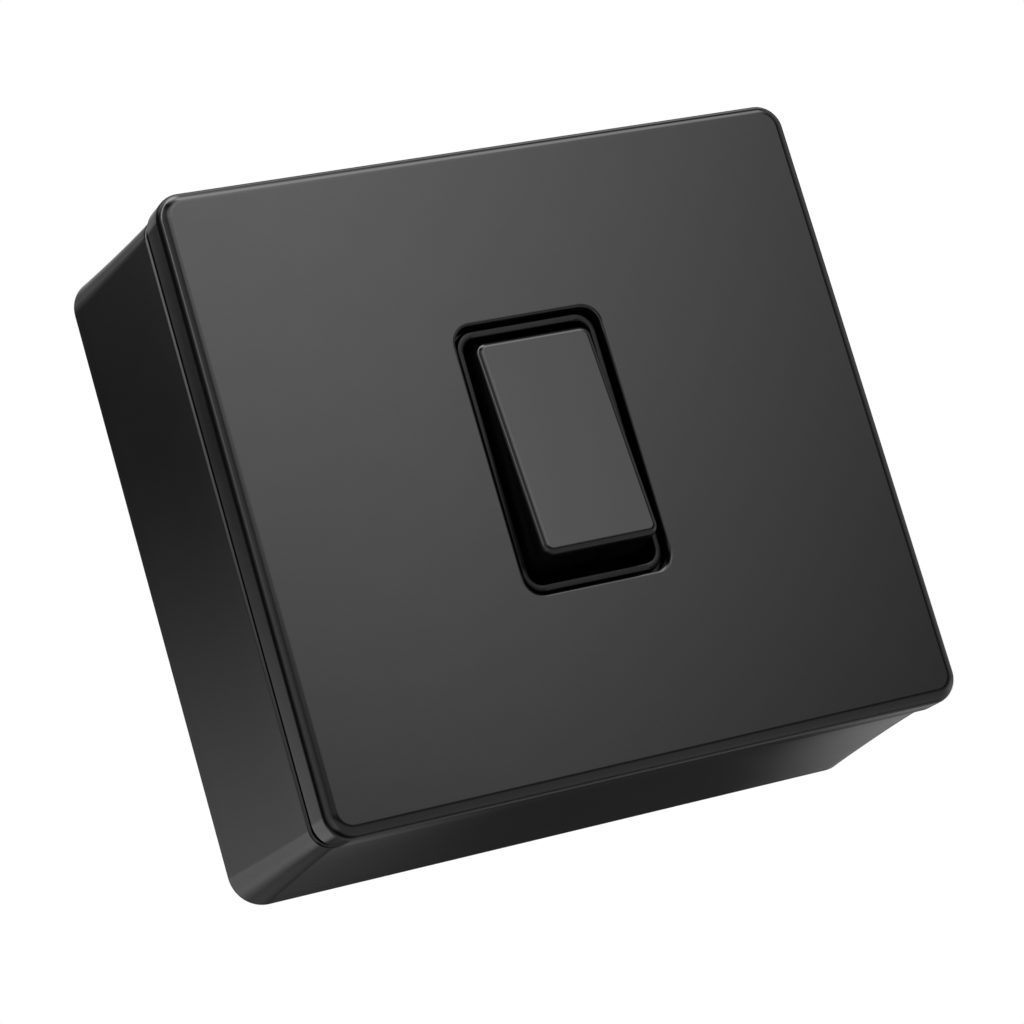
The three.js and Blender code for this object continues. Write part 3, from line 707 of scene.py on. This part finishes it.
def floor():
    n = Nodes("studio_floor")
    n.link(n.colour(n.noise(3, 2.0), (0.86, 0.86, 0.86), (0.9, 0.9, 0.9)), n.shader.inputs["Base Color"])
    n.shader.inputs["Roughness"].default_value = 0.9
    bm = bmesh.new()
    ends = (-FLOOR_REACH, FLOOR_REACH)
    corners = [(ends[0], ends[0]), (ends[1], ends[0]), (ends[1], ends[1]), (ends[0], ends[1])]
    bm.faces.new([bm.verts.new((x, y, FLOOR_HEIGHT)) for x, y in corners])
    mesh = bpy.data.meshes.new("floor")
    bm.to_mesh(mesh)
    bm.free()
    mesh.materials.append(n.material)
    obj = bpy.data.objects.new("floor", mesh)
    bpy.context.scene.collection.objects.link(obj)
    obj.visible_glossy = False


# The studio around the object, as soft bright panels in a dark room. Each has its azimuth and
# elevation, its half width and half height, and the softness of its sides and of its top and
# bottom, all in degrees, and then its strength.
PANELS = (
    (24, 50, 7, 42, 28, 26, 3.2),  # the key light, high on the right, that fades down the plate
    (40, 50, 12, 12, 8, 14, 3.0),  # the bright line along the top edges
    (10, 20, 6, 10, 8, 12, 0.7),  # the rolled edges just left of the face
    (0, 25, 18, 12, 15, 15, 1.7),  # the same edges higher up
    (-15, 25, 20, 20, 25, 25, 0.4),  # a weak fill beside them
    (25, 85, 15, 15, 20, 20, 3.4),  # overhead
    (-75, 50, 5, 34, 6, 16, 5.0),  # the thin strip that draws the fine lines on the left edges
    (-65, 5, 25, 50, 35, 20, 0.7),  # a broad fill round the strip
    (80, 10, 25, 40, 30, 20, 0.5),  # the right side
    (-155, -8, 18, 16, 6, 12, 0.65),  # the lower part of the left flank
    (-155, 34, 5, 18, 4, 10, 0.14),  # the upper part of the left flank
    (130, -3, 11, 11, 3, 12, 1.6),  # the lower right corner
    (142, -12, 8, 6, 3, 8, 0.45),  # the right end of the bottom flank
    (172, -4, 14, 9, 5, 10, 0.16),  # the left end of the bottom flank
    (175, 20, 22, 8, 4, 14, 0.5),  # the lower left corner
    (25, -50, 70, 38, 40, 25, 0.5),  # light off the floor in front
    (175, -45, 55, 20, 40, 20, 0.25),  # light off the floor behind
    (180, 70, 40, 14, 25, 20, 1.05),  # high behind, for the top
)
ROOM = 0.03  # the glow of the dark room between them


def wired(tree, kind, operation, *values):
    """A math node. Each of its values is a number, a vector or another node's output."""
    node = tree.nodes.new(kind)
    node.operation = operation
    for socket, value in zip(node.inputs, values):
        if isinstance(value, bpy.types.NodeSocket):
            tree.links.new(value, socket)
        else:
            socket.default_value = value
    return node.outputs["Value"]


def panel(tree, ray, azimuth, elevation, half_width, half_height, side_soft, top_soft, strength):
    """One softbox of the world: bright within its half sizes, fading over its soft edges."""
    look = direction(azimuth, elevation)
    side = direction(azimuth + 90, 0)
    up = look.cross(side)
    forward = wired(tree, "ShaderNodeVectorMath", "DOT_PRODUCT", ray, look)
    fades = []
    for axis, half, soft in ((side, half_width, side_soft), (up, half_height, top_soft)):
        across = wired(tree, "ShaderNodeVectorMath", "DOT_PRODUCT", ray, axis)
        angle = wired(tree, "ShaderNodeMath", "ARCTAN2", across, forward)
        fade = tree.nodes.new("ShaderNodeMapRange")
        fade.interpolation_type = "SMOOTHSTEP"
        fade.inputs["From Min"].default_value = math.radians(half - soft / 2)
        fade.inputs["From Max"].default_value = math.radians(half + soft / 2)
        fade.inputs["To Min"].default_value = 1
        fade.inputs["To Max"].default_value = 0
        tree.links.new(wired(tree, "ShaderNodeMath", "ABSOLUTE", angle), fade.inputs["Value"])
        fades.append(fade.outputs["Result"])
    both = wired(tree, "ShaderNodeMath", "MULTIPLY", *fades)
    return wired(tree, "ShaderNodeMath", "MULTIPLY", both, strength)


def world():
    """The panels light the object and show in it, and the camera sees white behind it."""
    made = bpy.data.worlds.new("studio")
    made.use_nodes = True
    tree = made.node_tree
    shade = tree.nodes["Background"]
    ray = tree.nodes.new("ShaderNodeTexCoord").outputs["Generated"]
    total = ROOM
    for values in PANELS:
        total = wired(tree, "ShaderNodeMath", "ADD", panel(tree, ray, *values), total)
    shade.inputs["Color"].default_value = (1, 1, 1, 1)
    tree.links.new(total, shade.inputs["Strength"])
    seen = tree.nodes.new("ShaderNodeBackground")
    seen.inputs["Color"].default_value = (1, 1, 1, 1)
    seen.inputs["Strength"].default_value = 1.0
    path = tree.nodes.new("ShaderNodeLightPath")
    mix = tree.nodes.new("ShaderNodeMixShader")
    tree.links.new(path.outputs["Is Camera Ray"], mix.inputs["Fac"])
    tree.links.new(shade.outputs["Background"], mix.inputs[1])
    tree.links.new(seen.outputs["Background"], mix.inputs[2])
    tree.links.new(mix.outputs["Shader"], tree.nodes["World Output"].inputs["Surface"])
    made.cycles.sampling_method = "MANUAL"
    made.cycles.sample_map_resolution = 1024
    bpy.context.scene.world = made


floor()
world()
bpy.context.scene.view_settings.view_transform = "Standard"
bpy.context.scene.view_settings.look = "None"
